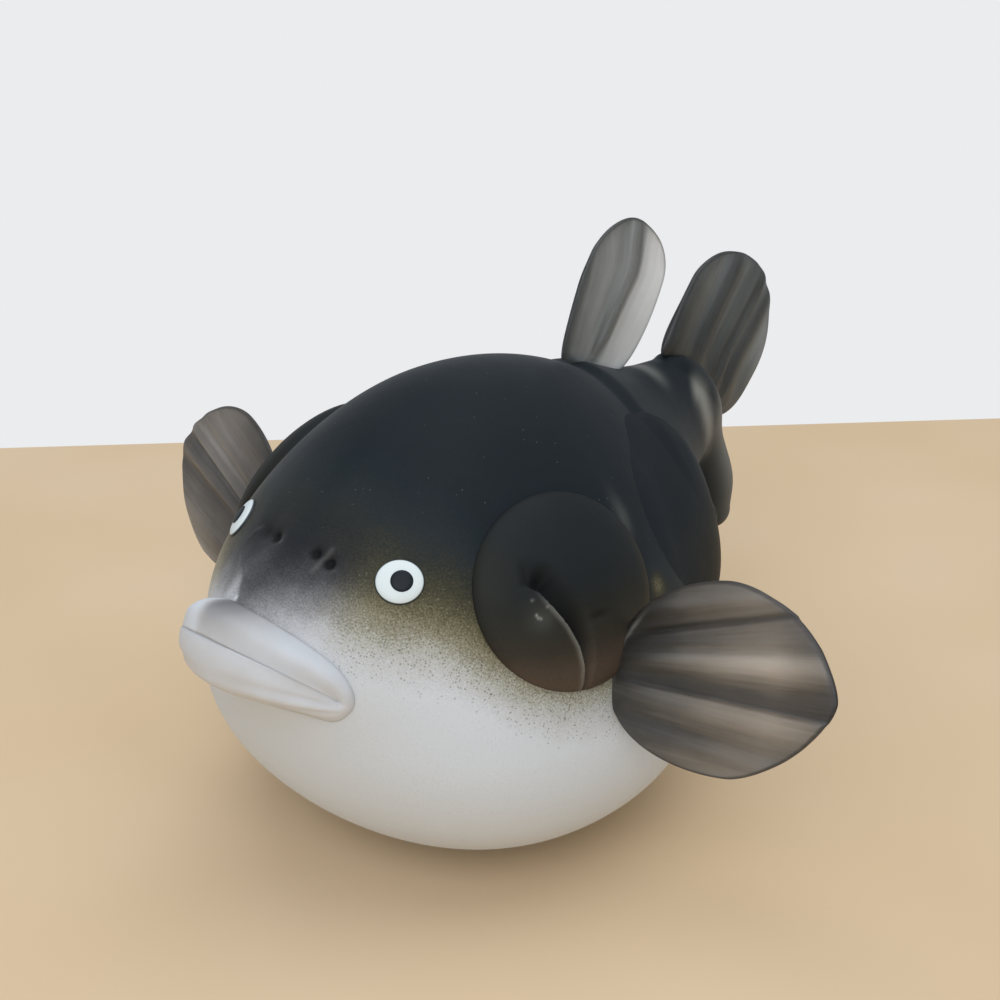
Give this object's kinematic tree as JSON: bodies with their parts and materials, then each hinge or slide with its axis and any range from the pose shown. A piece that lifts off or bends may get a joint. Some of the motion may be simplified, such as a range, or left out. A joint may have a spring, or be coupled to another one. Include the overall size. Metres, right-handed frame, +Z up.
{
  "type": "glass pufferfish figurine",
  "caption": "Frosted art glass pufferfish figurine: a puffed egg-shaped body with pouting lips, button eyes, round flank pads and ribbed paddle fins, resting on its belly.",
  "frame": {"origin": "on the small flat ground under the belly, in the figurine's middle plane", "axes": "-Y is the way the fish faces, +X is its left side, +Z is up"},
  "size_m": [0.1716, 0.1663, 0.1134],
  "materials": {
    "opal_glass": "white opal glass under dark frit on the back, etched to an even satin",
    "dark_glass": "near-black blue-grey glass, etched satin",
    "smoke_glass": "translucent smoke-brown glass, etched satin",
    "clear_glass": "clear glass, etched to a milky frost",
    "white_glass": "opaque white glass, satin",
    "black_glass": "opaque black glass, satin"
  },
  "bodies": {
    "root": {"head": "opal_glass", "trunk": "opal_glass", "tail_stalk": "dark_glass", "front_pad_left": "dark_glass", "front_pad_right": "dark_glass", "rear_pad_left": "dark_glass", "rear_pad_right": "dark_glass", "upper_lip": "clear_glass", "lower_lip": "clear_glass", "eye_left": "white_glass", "eye_right": "white_glass", "pupil_left": "black_glass", "pupil_right": "black_glass", "pectoral_fin_left": "smoke_glass", "pectoral_fin_right": "smoke_glass", "dorsal_fin": "smoke_glass", "tail_fin": "smoke_glass", "anal_fin": "dark_glass"}
  },
  "joints": []
}
